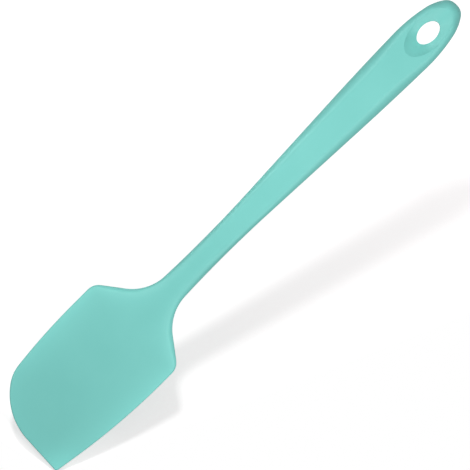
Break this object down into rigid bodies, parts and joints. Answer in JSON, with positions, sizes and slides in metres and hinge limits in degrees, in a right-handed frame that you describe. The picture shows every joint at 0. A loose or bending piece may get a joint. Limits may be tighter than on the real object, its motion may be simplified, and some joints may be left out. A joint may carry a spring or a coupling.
{
  "type": "spatula",
  "caption": "Seamless silicone scraper spatula: thin tapered blade with one square and one round tip corner, slim neck, flat rounded handle, oval hanging hole, hidden steel core",
  "frame": {"origin": "middle of the footprint, on the plane of the handle's flat back face, which the part lies on", "axes": "+X from the blade's tip edge to the handle end, +Z out of the front face, +Y to the side of the round tip corner"},
  "size_m": [0.2799, 0.0542, 0.011],
  "materials": {
    "teal_silicone": "satin",
    "core_steel": "satin"
  },
  "bodies": {
    "root": {"silicone_overmould": "teal_silicone", "steel_core": "core_steel"}
  },
  "joints": []
}
